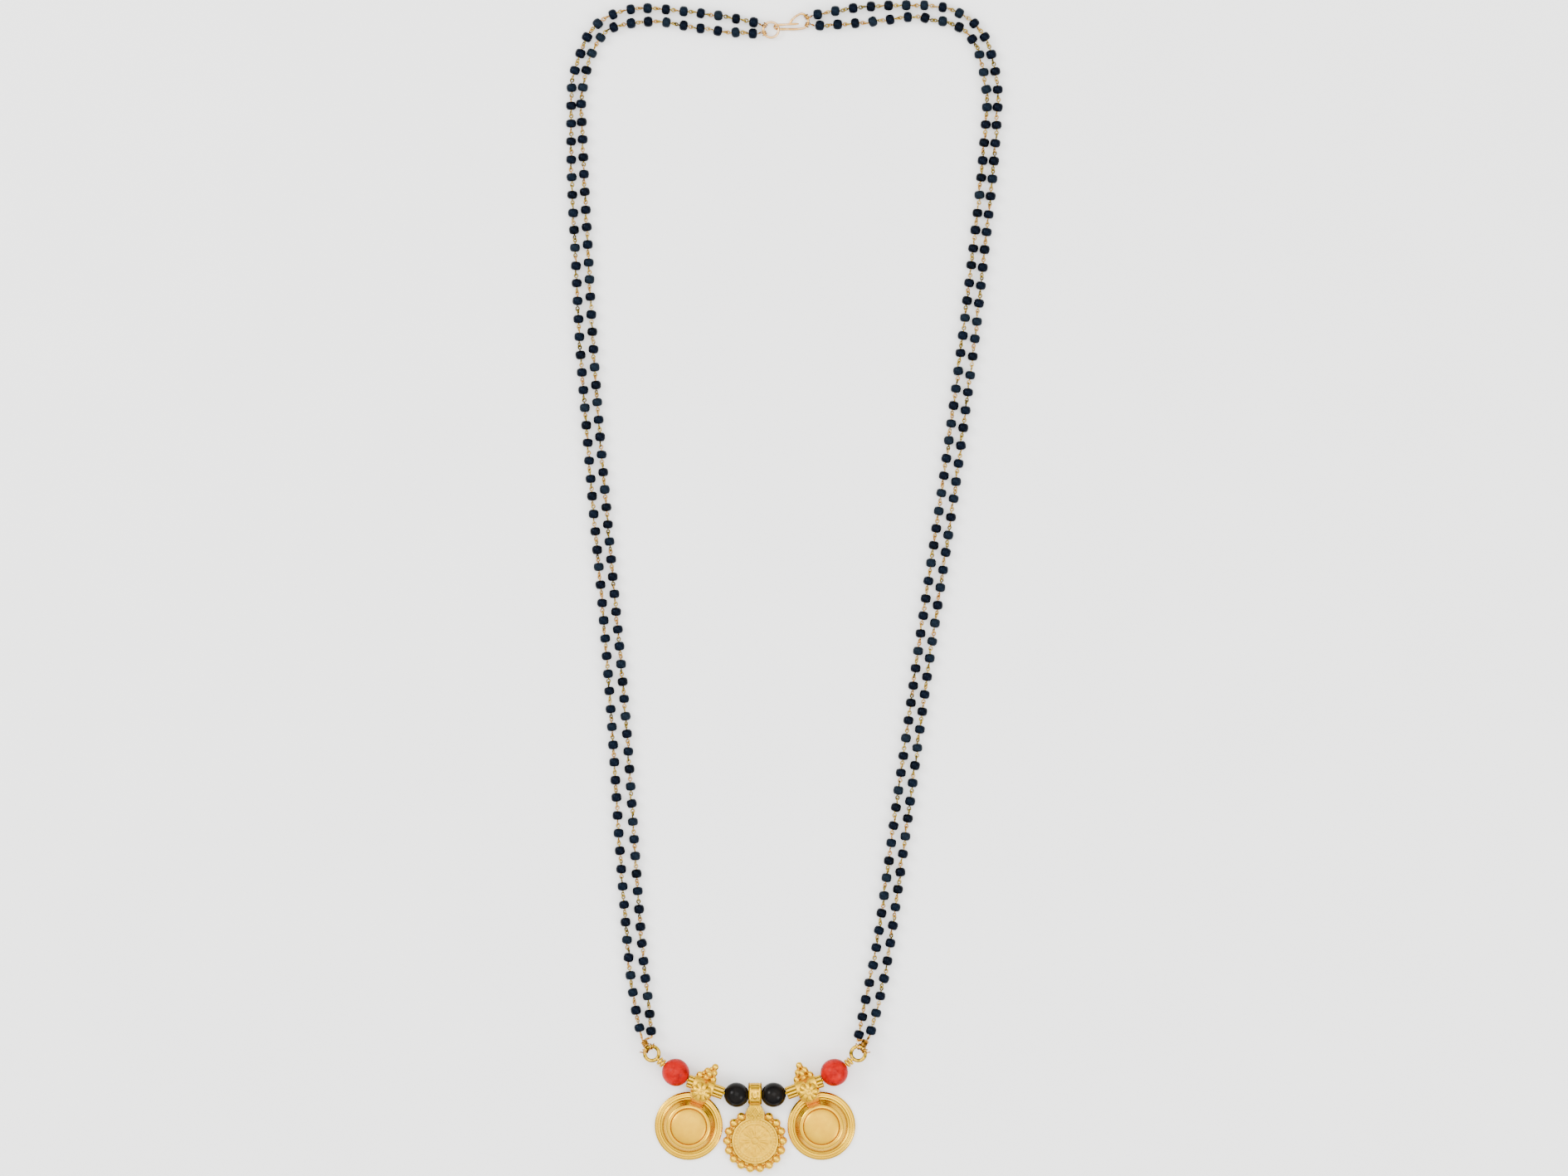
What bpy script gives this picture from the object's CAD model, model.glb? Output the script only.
import math

import bpy
import numpy as np
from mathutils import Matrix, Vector


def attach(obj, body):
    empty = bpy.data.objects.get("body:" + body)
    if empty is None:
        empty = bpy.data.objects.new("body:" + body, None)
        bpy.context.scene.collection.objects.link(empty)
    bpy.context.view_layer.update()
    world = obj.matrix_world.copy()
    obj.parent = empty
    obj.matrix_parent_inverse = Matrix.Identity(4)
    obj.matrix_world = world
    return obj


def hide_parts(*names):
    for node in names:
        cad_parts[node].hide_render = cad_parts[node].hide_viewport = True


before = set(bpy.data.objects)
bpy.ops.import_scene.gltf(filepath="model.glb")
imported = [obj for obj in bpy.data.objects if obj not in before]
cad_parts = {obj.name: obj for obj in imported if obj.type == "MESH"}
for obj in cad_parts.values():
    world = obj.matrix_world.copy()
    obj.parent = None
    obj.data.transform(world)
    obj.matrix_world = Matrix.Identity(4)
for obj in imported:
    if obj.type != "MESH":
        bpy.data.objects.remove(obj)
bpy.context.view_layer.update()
mm = 0.001
fullTurn = 2 * math.pi
rng = np.random.default_rng(7)
print("frame loaded:", len(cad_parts), "nodes")


# meshes

def unitRows(v):  # each row divided by its length
    return v / np.linalg.norm(v, axis=-1, keepdims=True)


def ramp(x, start, wide):  # 0 up to start, then evenly up to 1 at start + wide
    return np.clip((x - start) / wide, 0, 1)


def bell(x, middle, wide):  # 1 at the middle, falling as e^-((x - middle) / wide)^2
    return np.exp(-((x - middle) / wide) ** 2)


def sideAndUp(way):  # two directions square to each way, the first of them level
    side = unitRows(np.cross([0, 0, 1.0], way))
    return side, np.cross(way, side)


def polar(r, a, z):  # points (r cos a, r sin a, z)
    return np.stack([r * np.cos(a), r * np.sin(a), z + 0 * a], -1)


# quads between neighbouring rings of a grid: ring i, point j with ring i + 1, point j + 1
def ringFaces(rings, sides, closed=False):
    first = np.arange(rings if closed else rings - 1)[:, None] * sides
    after = (first + sides) % (rings * sides)
    here = np.arange(sides)[None, :]
    beyond = (here + 1) % sides
    return np.stack([first + here, first + beyond, after + beyond, after + here], -1).reshape(-1, 4)


# rings of points (rings, sides, 3) as a closed shape: quads between the rings, a cap on each end
def ringShape(rings, closed=False):
    count, sides = rings.shape[:2]
    faces = [ringFaces(count, sides, closed)]
    if not closed:
        faces.append(np.arange(sides)[None, ::-1])
        faces.append((count - 1) * sides + np.arange(sides)[None, :])
    return rings.reshape(-1, 3), faces


def manyFaces(faces, count, size):  # the faces of one shape of size points, for count such shapes in a row
    shift = np.arange(count)[:, None, None] * size
    return [(f[None] + shift).reshape(-1, f.shape[1]) for f in faces]


# copies of one shape: local point (x, y, z) goes to centre + x * along + y * side + z * up
def copies(shape, centre, along, side, up):
    points, faces = shape
    placed = (centre[:, None] + points[None, :, 0:1] * along[:, None]
              + points[None, :, 1:2] * side[:, None] + points[None, :, 2:3] * up[:, None])
    return placed.reshape(-1, 3), manyFaces(faces, len(centre), len(points))


def copiesAt(shape, places):  # copies that are moved only
    return copies(shape, places, *np.eye(3)[:, None].repeat(len(places), 1))


# a profile (radius, height) turned round Z: x = r cos a, y = r sin a, with r and z changed by
# change(r, z, a); the first point lies the offset, in sides, past a = 0
def turned(profile, sides, change=None, offset=0.0):
    r, z = (np.asarray(profile, float)[:, k][:, None] for k in (0, 1))
    a = (np.arange(sides)[None, :] + offset) * fullTurn / sides
    r, z = r + 0 * a, z + 0 * a
    if change is not None:
        r, z = change(r, z, a)
    return polar(r, a, z)


# the rings of a round wire: radius * (side cos b + up sin b) at each point of a path or of many paths,
# square to the path, with side as near as can be to ref
def wireRings(path, radius, sides, ref):
    way = unitRows(np.gradient(path, axis=-2))
    ref = np.broadcast_to(np.asarray(ref, float), path.shape)
    side = unitRows(ref - way * (ref * way).sum(-1, keepdims=True))
    up = np.cross(way, side)
    b = (np.arange(sides) * fullTurn / sides)[:, None]
    radius = np.broadcast_to(radius, path.shape[:-1])[..., None, None]
    return path[..., None, :] + radius * (side[..., None, :] * np.cos(b) + up[..., None, :] * np.sin(b))


def wireAlong(path, radius, sides, ref):  # one such wire, closed
    return ringShape(wireRings(path, radius, sides, ref))


# a torus: ((r + t cos b) cos a, (r + t cos b) sin a, t sin b), with t less by a bell curve at a seam
def torus(r, thick, turns=48, sides=12, seam=None):
    a = (np.arange(turns) * fullTurn / turns)[:, None]
    b = -(np.arange(sides) * fullTurn / sides)[None, :]
    if seam is not None:
        thick = thick * (1 - seam["depth"] * bell(a, seam["at"], seam["wide"]))
    return ringShape(polar(r + thick / 2 * np.cos(b), a, thick / 2 * np.sin(b)), closed=True)


def halfCircle(d, edge, rows):  # a sphere's profile: d/2 sin t, -d/2 cos t, for t from edge to pi - edge
    t = np.linspace(edge, math.pi - edge, rows)
    return np.stack([d / 2 * np.sin(t), -d / 2 * np.cos(t)], -1)


def ball(d, rows=12, sides=16, pole=0.02):  # a sphere with a tiny cap at each pole
    return ringShape(turned(halfCircle(d, pole, rows), sides))


# the smooth curve through points: 0.5 (2b + (c-a)t + (2a-5b+4c-d)t^2 + (3b-a-3c+d)t^3) from b to c
def smoothCurve(points, steps):
    p = np.asarray(points, float)
    i = np.arange(len(p) - 1)
    a, b, c, d = (p[np.clip(i + k, 0, len(p) - 1)][:, None] for k in (-1, 0, 1, 2))
    t = (np.arange(steps) / steps)[None, :, None]
    curve = 0.5 * (2 * b + (c - a) * t + (2 * a - 5 * b + 4 * c - d) * t ** 2
                   + (3 * b - a - 3 * c + d) * t ** 3)
    return np.concatenate([curve.reshape(-1, p.shape[1]), p[-1:]])


# points at given distances along a curve, and its direction there, from reach before to reach after
def alongCurve(curve, distances, reach=0.3):
    run = np.concatenate([[0], np.cumsum(np.linalg.norm(np.diff(curve, axis=0), axis=1))])
    at = lambda d: np.stack([np.interp(d, run, curve[:, k]) for k in range(3)], -1)
    return at(distances), unitRows(at(distances + reach) - at(distances - reach))


def shifted(shape, move):
    return shape[0] + np.asarray(move, float), shape[1]


def setValues(mesh, name, values):  # a value at each point, for the material to read
    mesh.attributes.new(name, "FLOAT", "POINT").data.foreach_set("value", values.astype(np.float32))


# all the shapes in one mesh, made smooth, with edges sharper than the angle kept
def makeMesh(shapes, sharp=40):
    sizes = np.array([len(p) for p, _ in shapes])
    starts = np.concatenate([[0], np.cumsum(sizes)[:-1]])
    faces = [f + k for (_, group), k in zip(shapes, starts) for f in group]
    corners = np.concatenate([f.ravel() for f in faces])
    counts = np.concatenate([np.full(len(f), f.shape[1]) for f in faces])
    points = np.concatenate([p for p, _ in shapes]) * mm
    mesh = bpy.data.meshes.new("shapes")
    mesh.vertices.add(len(points))
    mesh.vertices.foreach_set("co", points.ravel().astype(np.float32))
    mesh.loops.add(len(corners))
    mesh.loops.foreach_set("vertex_index", corners.astype(np.int32))
    mesh.polygons.add(len(counts))
    mesh.polygons.foreach_set("loop_start", (np.cumsum(counts) - counts).astype(np.int32))
    mesh.update(calc_edges=True)
    mesh.validate()
    mesh.polygons.foreach_set("use_smooth", np.ones(len(mesh.polygons), bool))
    mesh.set_sharp_from_angle(angle=math.radians(sharp))
    return mesh


# how hollow the mesh is: 0 on a ridge, 0.5 on a flat, 1 in a groove. The points are eased by passes of
# (point + mean of its neighbours) / 2, and how far each one rose along its normal is shared by depth
def addHollow(mesh, passes, depth):
    count = len(mesh.vertices)
    points, normals = np.empty(count * 3), np.empty(count * 3)
    mesh.vertices.foreach_get("co", points)
    mesh.vertices.foreach_get("normal", normals)
    points, normals = points.reshape(-1, 3), normals.reshape(-1, 3)
    ends = np.empty(len(mesh.edges) * 2, np.int32)
    mesh.edges.foreach_get("vertices", ends)
    ends = ends.reshape(-1, 2)
    here, there = np.concatenate([ends, ends[:, ::-1]]).T
    near = np.maximum(np.bincount(here, minlength=count), 1)
    eased = points.copy()
    for _ in range(passes):
        total = np.stack([np.bincount(here, eased[there, k], count) for k in range(3)], -1)
        eased = (eased + total / near[:, None]) / 2
    rise = ((eased - points) * normals).sum(1) / (depth * mm)
    setValues(mesh, "hollow", np.clip(0.5 + rise / 2, 0, 1))


def newObject(name, data):
    made = bpy.data.objects.new(name, data)
    bpy.context.scene.collection.objects.link(made)
    return made


# a mesh as a piece in place of nodes; ease is the passes and depth of addHollow, values are its own
def makePiece(name, mesh, look, slot, *replaced, ease=None, **values):
    mesh.name = name
    mesh.materials.append(materials[look])
    piece = newObject(name, mesh)
    if ease:
        addHollow(mesh, *ease)
    for key, value in values.items():
        setValues(mesh, key, value)
    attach(piece, "root")
    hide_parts(*replaced)


# materials

def addNode(tree, kind, **values):
    node = tree.nodes.new(kind)
    for key, value in values.items():
        if key in node.inputs:
            node.inputs[key].default_value = value
        else:
            setattr(node, key, value)
    return node


# noise on Object coordinates at a size in millimetres
def noiseNode(tree, size, detail=3.0, rough=0.5):
    coord = addNode(tree, "ShaderNodeTexCoord")
    noise = addNode(tree, "ShaderNodeTexNoise", Scale=1 / (size * mm), Detail=detail, Roughness=rough)
    tree.links.new(coord.outputs["Object"], noise.inputs["Vector"])
    return noise.outputs["Fac"]


def rampNode(tree, source, stops):  # a colour for each value
    node = addNode(tree, "ShaderNodeValToRGB")
    elements = node.color_ramp.elements
    while len(elements) < len(stops):
        elements.new(0.5)
    for element, (place, colour) in zip(elements, stops):
        element.position = place
        element.color = (*colour, 1)
    tree.links.new(source, node.inputs["Fac"])
    return node.outputs["Color"]


def rangeNode(tree, source, low, high, start=0.0, end=1.0):  # start to end becomes low to high
    spread = addNode(tree, "ShaderNodeMapRange",
                     **{"From Min": start, "From Max": end, "To Min": low, "To Max": high})
    tree.links.new(source, spread.inputs["Value"])
    return spread.outputs["Result"]


def mixNode(tree, share, colour, other):  # the colour, with a share of another one over it
    mix = addNode(tree, "ShaderNodeMix", data_type="RGBA", clamp_factor=True)
    mix.inputs[7].default_value = (*other, 1)
    tree.links.new(share, mix.inputs["Factor"])
    tree.links.new(colour, mix.inputs[6])
    return mix.outputs[2]


def valueNode(tree, name):  # what setValues gave each point
    return addNode(tree, "ShaderNodeAttribute", attribute_name=name).outputs["Fac"]


def multiplyAdd(tree, value, gain, extra, **options):  # value * gain + extra
    node = addNode(tree, "ShaderNodeMath", operation="MULTIPLY_ADD", **options)
    node.inputs[1].default_value = gain
    tree.links.new(value, node.inputs[0])
    tree.links.new(extra, node.inputs[2])
    return node.outputs[0]


def newShader(name, **values):
    material = bpy.data.materials.new(name)
    material.use_nodes = True
    shader = material.node_tree.nodes["Principled BSDF"]
    for key, value in values.items():
        shader.inputs[key].default_value = value
    return material, material.node_tree, shader


# the hollow values between which tarnish sets in, and between which wear does
hollowReach = {"grooves": (0.53, 0.85), "ridges": (0.42, 0.05)}
# what most materials share
usual = dict(shader={}, speckReach=(-0.9, 1.1), roughPatch=1.0, bump=0.3, bumpDepth=0.06, grain=0.4)


def newMaterial(name, look, metallic):
    look = {**usual, **look}
    material, tree, shader = newShader(name, Metallic=metallic, **look["shader"])
    # colour: tones over patches, with finer specks mixed in
    wide = noiseNode(tree, look["patch"], detail=2)
    if "patchShare" in look:  # each bead's or link's own tone shifts a share of its patches
        wide = multiplyAdd(tree, wide, look["patchShare"], valueNode(tree, "tone"))
    colour = rampNode(tree, wide, look["colours"])
    if "specks" in look:
        some = rangeNode(tree, noiseNode(tree, look["speckSize"], detail=4), *look["speckReach"])
        colour = mixNode(tree, some, colour, look["specks"])
    if "grooves" in look:  # tarnish in the hollows, bright wear along the ridges
        for target, reach in hollowReach.items():
            *tint, most = look[target]
            share = rangeNode(tree, valueNode(tree, "hollow"), 0, most, *reach)
            colour = mixNode(tree, share, colour, tint)
    tree.links.new(colour, shader.inputs["Base Color"])
    rough = rangeNode(tree, noiseNode(tree, look["roughPatch"]), *look["roughness"])
    if "satinGain" in look:  # the mesh's own value says how matt each place is
        rough = multiplyAdd(tree, valueNode(tree, "satin"), look["satinGain"], rough, use_clamp=True)
    tree.links.new(rough, shader.inputs["Roughness"])
    bump = addNode(tree, "ShaderNodeBump", Strength=look["bump"], Distance=look["bumpDepth"] * mm)
    tree.links.new(noiseNode(tree, look["grain"], detail=4, rough=0.6), bump.inputs["Height"])
    tree.links.new(bump.outputs["Normal"], shader.inputs["Normal"])
    return material


# patch, speckSize, roughPatch, bumpDepth and grain in mm; grooves and ridges: a colour and its greatest share
metals = dict(
    polishedGold=dict(
        patch=2.2,
        colours=[(0.3, (0.573, 0.293, 0)), (0.5, (0.627, 0.34, 0)), (0.7, (0.647, 0.38, 0.00667))],
        specks=(0.48, 0.253, 0.00267), speckSize=0.8,
        grooves=(0.12, 0.056, 0.001, 0.95), ridges=(0.66, 0.44, 0.04, 0.6),
        roughPatch=1.2, roughness=(0.14, 0.34), bump=0.4, grain=0.5),
    mountGold=dict(
        patch=1.8, colours=[(0.3, (0.64, 0.34, 0)), (0.5, (0.71, 0.4, 0)), (0.7, (0.75, 0.45, 0.01))],
        specks=(0.5, 0.26, 0.002), speckSize=0.5,
        grooves=(0.16, 0.078, 0.002, 0.9), ridges=(0.7, 0.46, 0.05, 0.7),
        roughness=(0.2, 0.4), bump=0.6, bumpDepth=0.08),
    cupGold=dict(
        patch=4.0,
        colours=[(0.3, (0.6, 0.313, 0)), (0.5, (0.633, 0.343, 0)), (0.7, (0.647, 0.373, 0.00333))],
        specks=(0.587, 0.307, 0.00267), speckSize=1.6,
        grooves=(0.11, 0.05, 0.001, 0.97), ridges=(0.66, 0.44, 0.04, 0.6), satinGain=0.24,
        roughPatch=1.6, roughness=(0.19, 0.33), bumpDepth=0.05, grain=0.6),
    coinGold=dict(
        patch=1.6,
        colours=[(0.3, (0.587, 0.307, 0)), (0.5, (0.633, 0.347, 0)), (0.7, (0.653, 0.393, 0.0133))],
        specks=(0.467, 0.253, 0.004), speckSize=0.35, speckReach=(-0.8, 1.3),
        grooves=(0.26, 0.13, 0.003, 0.8), ridges=(0.66, 0.44, 0.04, 0.5),
        roughPatch=0.8, roughness=(0.36, 0.52), bump=0.8, bumpDepth=0.07, grain=0.3),
    linkGold=dict(
        patch=2.5, patchShare=0.35,
        colours=[(0.2, (0.08, 0.052, 0.006)), (0.45, (0.36, 0.24, 0.03)), (0.75, (0.38, 0.18, 0.04)),
                 (1.0, (0.5, 0.37, 0.12))],
        roughPatch=0.8, roughness=(0.18, 0.4), bumpDepth=0.03),
    roseGold=dict(
        patch=0.8,
        colours=[(0.38, (0.07, 0.026, 0.003)), (0.48, (0.4, 0.17, 0.015)), (0.58, (0.55, 0.28, 0.05)),
                 (0.7, (0.64, 0.4, 0.14))],
        roughPatch=0.8, roughness=(0.18, 0.36), bumpDepth=0.03),
    claspGold=dict(
        patch=2.6,
        colours=[(0.32, (0.413, 0.24, 0.04)), (0.46, (0.633, 0.347, 0.0933)), (0.6, (0.647, 0.413, 0.2))],
        roughness=(0.14, 0.3), bumpDepth=0.03),
    eyeGold=dict(
        patch=1.2,
        colours=[(0.38, (0.1, 0.06, 0.004)), (0.5, (0.4, 0.235, 0.008)), (0.64, (0.58, 0.35, 0.02))],
        roughness=(0.18, 0.38), bump=0.35, bumpDepth=0.05, grain=0.5))
stones = dict(
    blackGlass=dict(
        shader={"Specular IOR Level": 0.07, "Specular Tint": (0.4, 0.62, 1.0, 1.0)},
        patch=1.1, patchShare=0.35,
        colours=[(0.2, (0.0004, 0.0005, 0.0012)), (0.55, (0.0008, 0.0012, 0.004)),
                 (0.85, (0.0012, 0.003, 0.007)), (1.1, (0.004, 0.007, 0.011))],
        roughness=(0.12, 0.3), bump=0.5, bumpDepth=0.1, grain=0.9),
    blackStone=dict(
        shader={"Specular IOR Level": 0.065}, patch=2.5,
        colours=[(0.3, (0.00133, 0.00133, 0.00133)), (0.7, (0.006, 0.00467, 0.004))],
        roughPatch=2.0, roughness=(0.14, 0.26), bump=0.2, grain=1.2),
    coral=dict(
        shader={"Specular IOR Level": 0.05, "Subsurface Weight": 0.05,
                "Subsurface Scale": 0.001, "Subsurface Radius": (1.0, 0.06, 0.03)}, patch=2.6,
        colours=[(0.28, (0.17, 0.001, 0.001)), (0.45, (0.3, 0.002, 0.0015)), (0.6, (0.36, 0.003, 0.002)),
                 (0.75, (0.46, 0.01, 0.006))],
        specks=(0.42, 0.012, 0.006), speckSize=0.6, roughPatch=1.5, roughness=(0.2, 0.34), grain=0.7))
materials = {name: newMaterial(name, look, metallic)
             for group, metallic in ((metals, 1.0), (stones, 0.0)) for name, look in group.items()}
print("materials made:", len(materials))


# places along the pendant wire, as in the construction

wire = dict(lowX=-8.5, lowY=-147.3, bendR=42.2, thick=1.0, eyeD=5.2, eyeThick=1.1,
            neckThick=0.92, neckPitch=1.0, coralD=8.0, blackD=7.2, gap=0.15, tubeLen=11.0,
            bailWidth=3.3, height=4.0, boreClear=0.25, neckHold=0.43)
gap = wire["gap"]
blackAt = (wire["bailWidth"] + wire["blackD"]) / 2 + gap
tubeAt = blackAt + (wire["blackD"] + wire["tubeLen"]) / 2 + gap
coralAt = tubeAt + (wire["tubeLen"] + wire["coralD"]) / 2 + gap
neckAt = coralAt + (wire["coralD"] + wire["neckThick"]) / 2 + gap
eyeAt = neckAt + wire["neckPitch"] + (wire["neckThick"] + wire["eyeD"]) / 2 + gap
eyeR = (wire["eyeD"] - wire["eyeThick"]) / 2
bendMiddle = np.array([wire["lowX"], wire["lowY"] + wire["bendR"], wire["height"]])


# a shape put on the wire: X along it, -Y away from the neck, turned by s / bendR round the bend's middle
def onWire(shape, s):
    a = s / wire["bendR"]
    x, y, z = shape[0].T
    y = y - wire["bendR"]
    points = [x * math.cos(a) - y * math.sin(a), x * math.sin(a) + y * math.cos(a), z]
    return bendMiddle + np.stack(points, -1), shape[1]


def halfRise(length):  # centres the bent wire in a straight bore
    return length * length / (16 * wire["bendR"])


def alongX(shape):  # Z becomes X, so that a turned shape lies along the wire
    x, y, z = shape[0].T
    return np.stack([z, x, y], -1), shape[1]


def eyeMiddle(side):  # the middle of an eye, eyeAt along the bend from its lowest point
    return bendMiddle + polar(wire["bendR"], side * eyeAt / wire["bendR"] - math.pi / 2, 0)


# bead strands

clasp = dict(ringX=-3.9, ringY=161.0, ringD=5.2, ringThick=0.75, hookThick=0.7, clear=0.2,
             hookLift=0.05, hookY=161.8, hookLen=6.0, legHalf=0.55, eyeX=4.75, eyeY=163.5, eyeZ=1.2,
             eyeR=2.15, seam=dict(at=4.0, depth=0.3, wide=0.05), tip=0.45, taper=0.2,
             leg=[[1, 1.6, -0.7], [0.67, 1.4, -0.1], [1 / 3, 1.2, 0]],
             lower=[[2.5, -0.55, 0], [4.7, -0.6, 0.3]],
             tail=[[-0.7, 0.65, -0.14], [-1.25, 0.1, -0.23], [-1.53, -0.46, -0.28]])
hookRise = clasp["ringThick"] / 2 + clasp["hookThick"] / 2 + clasp["clear"]
hookLow = clasp["hookThick"] / 2 + clasp["hookLift"]
ringMiddle = np.array([clasp["ringX"], clasp["ringY"], hookLow + hookRise])
hookEyeMiddle = np.array([clasp["eyeX"], clasp["eyeY"], clasp["eyeZ"]])
strand = dict(low=1.45, climb=1.1, steps=12, beads=67, beadR=1.62, beadHalf=1.31, holeR=0.36,
              squareness=0.76, sides=8, rows=[-90, -64, -41, -20, 0, 20, 41, 64, 90], endRoom=1.34,
              lowRoom=1.64, wander=0.14, tilt=0.08, tiltUp=0.2, lift=0.05, farX=61.74, farY=168.09,
              lengths=(0.93, 1.03), sizes=(0.98, 1.0), tones=(0, 0.9))
link = dict(thick=0.44, loopLong=1.16, loopWide=0.98, loopEnd=335, loopPoints=10, sides=6, inside=0.4,
            stemShare=0.3, rise=0.132, tones=(0, 0.75))
# start and end: an angle round the ring there and the distance from it; topTie and lowTie: the angle where
# that tie's turns start, and the way they go on
routes = {
    "left_outer": dict(
        start=(152.8, 1.56), end=(119.7, 4.02), side=-1, topTie=(160, -1), lowTie=(124, 1),
        points=[[-18.5, 165], [-29, 166.3], [-39, 167.2], [-46, 166.6], [-52, 164.2], [-56.2, 160.4],
                [-58.6, 155.2], [-60.6, 149.5], [-61.7, 143], [-61.8, 132], [-61.5, 116], [-60.4, 94],
                [-59.2, 70], [-57.3, 46], [-55.3, 22], [-53, -2], [-51, -26], [-49.3, -50], [-47.8, -74],
                [-46, -97], [-44.6, -112], [-43.1, -122]]),
    "left_inner": dict(
        start=(197.1, 1.48), end=(91, 2.16), side=-1, topTie=(190, 1), lowTie=(112, -1),
        points=[[-18.8, 160.6], [-28, 162], [-36, 163.3], [-43, 163], [-48.6, 162], [-52.2, 159.8],
                [-54.8, 156.2], [-56.7, 151.2], [-58.1, 145.5], [-58.8, 139], [-58.4, 130], [-57.8, 115],
                [-56.7, 95], [-55.6, 74], [-53.9, 50], [-51.8, 26], [-49.6, 2], [-47.3, -22], [-45.3, -46],
                [-43.7, -70], [-42, -94], [-40.6, -110], [-39.2, -121.5]]),
    "right_inner": dict(
        start=(-18.6, 1.88), end=(91.8, 1.16), side=1, topTie=(-12, -1), lowTie=(68, 1),
        points=[[19.5, 162.8], [29, 163.7], [37, 164.7], [43.5, 163.9], [49.2, 162.4], [52.9, 159.9],
                [55.5, 156.2], [57.1, 151.2], [58.2, 145.2], [58.6, 139], [57.9, 130], [56.6, 115],
                [54.4, 96], [51.9, 75], [48.9, 52], [45.7, 29], [42.3, 6], [38.9, -17], [35.7, -40],
                [32.4, -63], [29.3, -86], [26.3, -106], [23.4, -120]]),
    "right_outer": dict(
        start=(25.6, 1.44), end=(56.5, 3.34), side=1, topTie=(18, 1), lowTie=(56, -1),
        points=[[19.5, 167.2], [30, 168], [40, 168.1], [47, 167.2], [53, 164.4], [57.2, 160.2], [59.5, 155],
                [61, 149], [61.8, 142.5], [61.3, 132], [60.1, 117], [57.8, 96], [55.3, 73], [52.3, 50],
                [49.2, 27], [45.8, 4], [42.3, -19], [39.1, -42], [36, -65], [32.8, -88], [30.2, -106],
                [27.4, -120]]),
}


def beside(middle, r, place):  # a point at an angle round a ring and a distance from its outer edge
    return (middle + polar(r + place[1], math.radians(place[0]), 0))[:2]


# a strand's curve: flat at z = low, then climbing by a quarter and by all of climb over its last two points
def strandCurve(route):
    atLeft = route["side"] < 0
    claspMiddle = ringMiddle if atLeft else hookEyeMiddle
    claspR = clasp["ringD"] / 2 if atLeft else clasp["eyeR"] + clasp["hookThick"] / 2
    flat = [beside(claspMiddle, claspR, route["start"])] + route["points"]
    flat += [beside(eyeMiddle(route["side"]), wire["eyeD"] / 2, route["end"])]
    heights = np.full(len(flat), strand["low"])
    heights[-2:] += np.array([0.25, 1]) * strand["climb"]
    curve = smoothCurve(np.column_stack([flat, heights]), strand["steps"])
    curve[:, 2] = np.maximum(curve[:, 2], strand["low"])
    return curve


# one bead along X: x = half |sin t|^e, r = hole + (R - hole) |cos t|^e, closed through its hole.
# It is turned by half a side, so that flats, not edges, make its outline.
def beadShape():
    t = np.radians(strand["rows"])
    e = strand["squareness"]
    x = strand["beadHalf"] * np.sign(np.sin(t)) * np.abs(np.sin(t)) ** e
    r = strand["holeR"] + (strand["beadR"] - strand["holeR"]) * np.abs(np.cos(t)) ** e
    return alongX(ringShape(turned(np.stack([r, x], -1), strand["sides"], offset=0.5), closed=True))


# the two wire eyes of each gap: a stem, then a loop u = stem + a (1 - cos t), v = b sin t, which rises
# along w as it closes, so that its end lies beside the stem
def linkShapes(faceA, faceB, turn):
    way = faceB - faceA
    room = np.linalg.norm(way, axis=1, keepdims=True)
    way = way / room
    side, up = sideAndUp(way)
    t = np.radians(np.linspace(0, link["loopEnd"], link["loopPoints"]))
    stem = (room + link["thick"]) / 2 - link["loopLong"]
    loop = stem + link["loopLong"] / 2 * (1 - np.cos(t))[None]
    u = np.concatenate([np.full_like(room, -link["inside"]), stem * link["stemShare"], loop], 1)[:, :, None]
    across = np.concatenate([[0, 0], link["loopWide"] / 2 * np.sin(t)])[None, :, None]
    rise = np.concatenate([[0, 0], link["rise"] * t / t[-1]])[None, :, None]
    shapes = []
    for base, sense, quarter in ((faceA, 1, 0), (faceB, -1, math.pi / 2)):
        v = side * np.cos(turn + quarter)[:, None] + up * np.sin(turn + quarter)[:, None]
        w = np.cross(way * sense, v)
        path = base[:, None] + u * (way * sense)[:, None] + across * v[:, None] + rise * w[:, None]
        rings = wireRings(path, link["thick"] / 2, link["sides"], w[:, None])
        faces = ringShape(rings[0])[1]
        shapes.append((rings.reshape(-1, 3), manyFaces(faces, len(rings), rings[0].size // 3)))
    return shapes


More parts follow.
